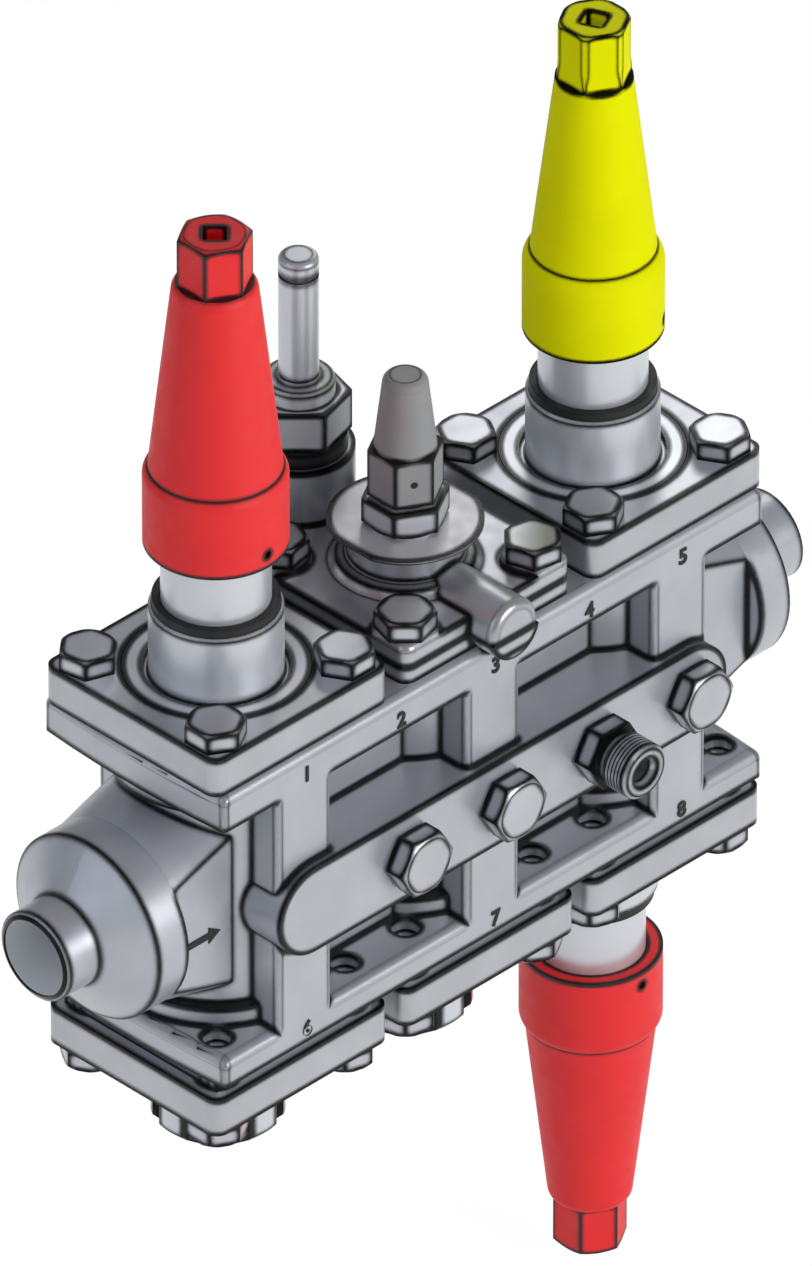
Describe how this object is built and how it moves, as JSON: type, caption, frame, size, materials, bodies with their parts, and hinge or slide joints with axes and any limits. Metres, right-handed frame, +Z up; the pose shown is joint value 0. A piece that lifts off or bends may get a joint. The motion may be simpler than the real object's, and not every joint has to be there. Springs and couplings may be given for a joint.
{
  "type": "valve station",
  "caption": "Welded-in refrigeration valve station: a cast block carries stop, strainer, solenoid, regulating and stop valves in a row, with side ports along one face.",
  "frame": {"origin": "centre of the inlet weld face, on the flow axis", "axes": "+X along the flow from inlet to outlet, +Z up along the module axes, -Y towards the side ports"},
  "size_m": [0.357, 0.1426, 0.512],
  "materials": {
    "cast_steel": "satin, fine blasted cast steel",
    "machined_steel": "satin, machined",
    "bright_steel": "turned, satin bright",
    "bolt_steel": "satin bright stainless",
    "spindle_steel": "ground",
    "strainer_mesh": "stainless",
    "tag_steel": "satin sheet",
    "black_rubber": "matte black",
    "packing": "white",
    "washer": "dark",
    "red_cap": "satin red",
    "yellow_cap": "satin yellow",
    "grey_cap": "satin grey"
  },
  "bodies": {
    "casting": {"blank_cover": "machined_steel", "blank_cover_bolts": "bolt_steel", "blank_plug": "bright_steel", "cover_seals": "black_rubber", "inlet_stop_bolts": "bolt_steel", "inlet_stop_bonnet": "bright_steel", "inlet_stop_clamp_flange": "machined_steel", "inlet_stop_gland": "bright_steel", "inlet_stop_neck_seal": "black_rubber", "inlet_stop_packing": "packing", "manual_gland_nut": "bright_steel", "outlet_stop_bolts": "bolt_steel", "outlet_stop_bonnet": "bright_steel", "outlet_stop_clamp_flange": "machined_steel", "outlet_stop_gland": "bright_steel", "outlet_stop_neck_seal": "black_rubber", "outlet_stop_packing": "packing", "port_plugs": "bolt_steel", "port_washers": "washer", "regulating_bolts": "bolt_steel", "regulating_bonnet": "bright_steel", "regulating_clamp_flange": "machined_steel", "regulating_gland": "bright_steel", "regulating_neck_seal": "black_rubber", "regulating_packing": "packing", "service_nipple": "bolt_steel", "solenoid_armature_tube": "bright_steel", "solenoid_cover": "machined_steel", "solenoid_cover_bolts": "bolt_steel", "solenoid_plate": "machined_steel", "solenoid_tube_nut": "bright_steel", "solenoid_tube_washer": "washer", "strainer_basket": "strainer_mesh", "strainer_cover": "machined_steel", "strainer_cover_bolts": "bolt_steel", "strainer_plug": "bright_steel", "tag_disc": "tag_steel", "valve_body": "cast_steel"},
    "inlet_plug": {"inlet_stop_plug": "spindle_steel"},
    "inlet_spindle": {"inlet_stop_spindle": "spindle_steel"},
    "regulating_plug": {"regulating_plug": "spindle_steel"},
    "regulating_spindle": {"regulating_spindle": "spindle_steel"},
    "outlet_plug": {"outlet_stop_plug": "spindle_steel"},
    "outlet_spindle": {"outlet_stop_spindle": "spindle_steel"},
    "inlet_cap_ring": {"inlet_stop_cap_gasket": "black_rubber"},
    "inlet_cap": {"inlet_stop_cap": "red_cap"},
    "regulating_cap_ring": {"regulating_cap_gasket": "black_rubber"},
    "regulating_cap": {"regulating_cap": "yellow_cap"},
    "outlet_cap_ring": {"outlet_stop_cap_gasket": "black_rubber"},
    "outlet_cap": {"outlet_stop_cap": "red_cap"},
    "manual_seal_ring": {"manual_spindle_seal": "black_rubber"},
    "manual_spindle": {"manual_spindle": "spindle_steel"},
    "manual_cap_ring": {"manual_cap_gasket": "black_rubber"},
    "manual_cap": {"manual_cap": "grey_cap"},
    "armature": {"solenoid_armature": "spindle_steel"},
    "piston": {"solenoid_piston": "spindle_steel"}
  },
  "joints": [
    {"name": "inlet_plug_lift", "type": "slide", "parent": "casting", "child": "inlet_plug", "axis": [0, 0, 1], "range_m": [0, 0.014]},
    {"name": "inlet_spindle_turn", "type": "hinge", "parent": "inlet_plug", "child": "inlet_spindle", "pos_m": [0.0878, 0, 0], "axis": [0, 0, 1], "range_deg": [0, 2520]},
    {"name": "regulating_plug_lift", "type": "slide", "parent": "casting", "child": "regulating_plug", "axis": [0, 0, 1], "range_m": [0, 0.012]},
    {"name": "regulating_spindle_turn", "type": "hinge", "parent": "regulating_plug", "child": "regulating_spindle", "pos_m": [0.2692, 0, 0], "axis": [0, 0, 1], "range_deg": [0, 2160]},
    {"name": "outlet_plug_lift", "type": "slide", "parent": "casting", "child": "outlet_plug", "axis": [0, 0, 1], "range_m": [0, 0.014]},
    {"name": "outlet_spindle_turn", "type": "hinge", "parent": "outlet_plug", "child": "outlet_spindle", "pos_m": [0.2692, 0, 0], "axis": [0, 0, 1], "range_deg": [0, 2520]},
    {"name": "inlet_cap_rise", "type": "slide", "parent": "casting", "child": "inlet_cap_ring", "axis": [0, 0, 1], "range_m": [0, 0.0075]},
    {"name": "inlet_cap_turn", "type": "hinge", "parent": "inlet_cap_ring", "child": "inlet_cap", "pos_m": [0.0878, 0, 0], "axis": [0, 0, 1], "range_deg": [0, 1800]},
    {"name": "regulating_cap_rise", "type": "slide", "parent": "casting", "child": "regulating_cap_ring", "axis": [0, 0, 1], "range_m": [0, 0.0075]},
    {"name": "regulating_cap_turn", "type": "hinge", "parent": "regulating_cap_ring", "child": "regulating_cap", "pos_m": [0.2692, 0, 0], "axis": [0, 0, 1], "range_deg": [0, 1800]},
    {"name": "outlet_cap_rise", "type": "slide", "parent": "casting", "child": "outlet_cap_ring", "axis": [0, 0, -1], "range_m": [0, 0.0075]},
    {"name": "outlet_cap_turn", "type": "hinge", "parent": "outlet_cap_ring", "child": "outlet_cap", "pos_m": [0.2692, 0, 0], "axis": [0, 0, -1], "range_deg": [0, 1800]},
    {"name": "manual_spindle_rise", "type": "slide", "parent": "casting", "child": "manual_seal_ring", "axis": [0, 0, 1], "range_m": [0, 0.003]},
    {"name": "manual_spindle_turn", "type": "hinge", "parent": "manual_seal_ring", "child": "manual_spindle", "pos_m": [0.1785, 0, 0], "axis": [0, 0, 1], "range_deg": [0, 1080]},
    {"name": "manual_cap_rise", "type": "slide", "parent": "casting", "child": "manual_cap_ring", "axis": [0, 0, 1], "range_m": [0, 0.006]},
    {"name": "manual_cap_turn", "type": "hinge", "parent": "manual_cap_ring", "child": "manual_cap", "pos_m": [0.1785, 0, 0], "axis": [0, 0, 1], "range_deg": [0, 1440]},
    {"name": "armature_lift", "type": "slide", "parent": "casting", "child": "armature", "axis": [0, 0, 1], "range_m": [0, 0.003], "stiffness_N_per_m": 400, "springref_m": -0.002},
    {"name": "piston_lift", "type": "slide", "parent": "casting", "child": "piston", "axis": [0, 0, 1], "range_m": [0, 0.008], "stiffness_N_per_m": 300, "springref_m": -0.005}
  ],
  "couplings": [
    {"joint": "inlet_spindle_turn", "follows": "inlet_plug_lift", "rad_per_m": 3141.6},
    {"joint": "regulating_spindle_turn", "follows": "regulating_plug_lift", "rad_per_m": 3141.6},
    {"joint": "outlet_spindle_turn", "follows": "outlet_plug_lift", "rad_per_m": 3141.6},
    {"joint": "inlet_cap_rise", "follows": "inlet_cap_turn", "m_per_rad": 0.0002387},
    {"joint": "regulating_cap_rise", "follows": "regulating_cap_turn", "m_per_rad": 0.0002387},
    {"joint": "outlet_cap_rise", "follows": "outlet_cap_turn", "m_per_rad": 0.0002387},
    {"joint": "manual_spindle_turn", "follows": "manual_spindle_rise", "rad_per_m": 6283.2},
    {"joint": "manual_cap_rise", "follows": "manual_cap_turn", "m_per_rad": 0.0002387}
  ]
}
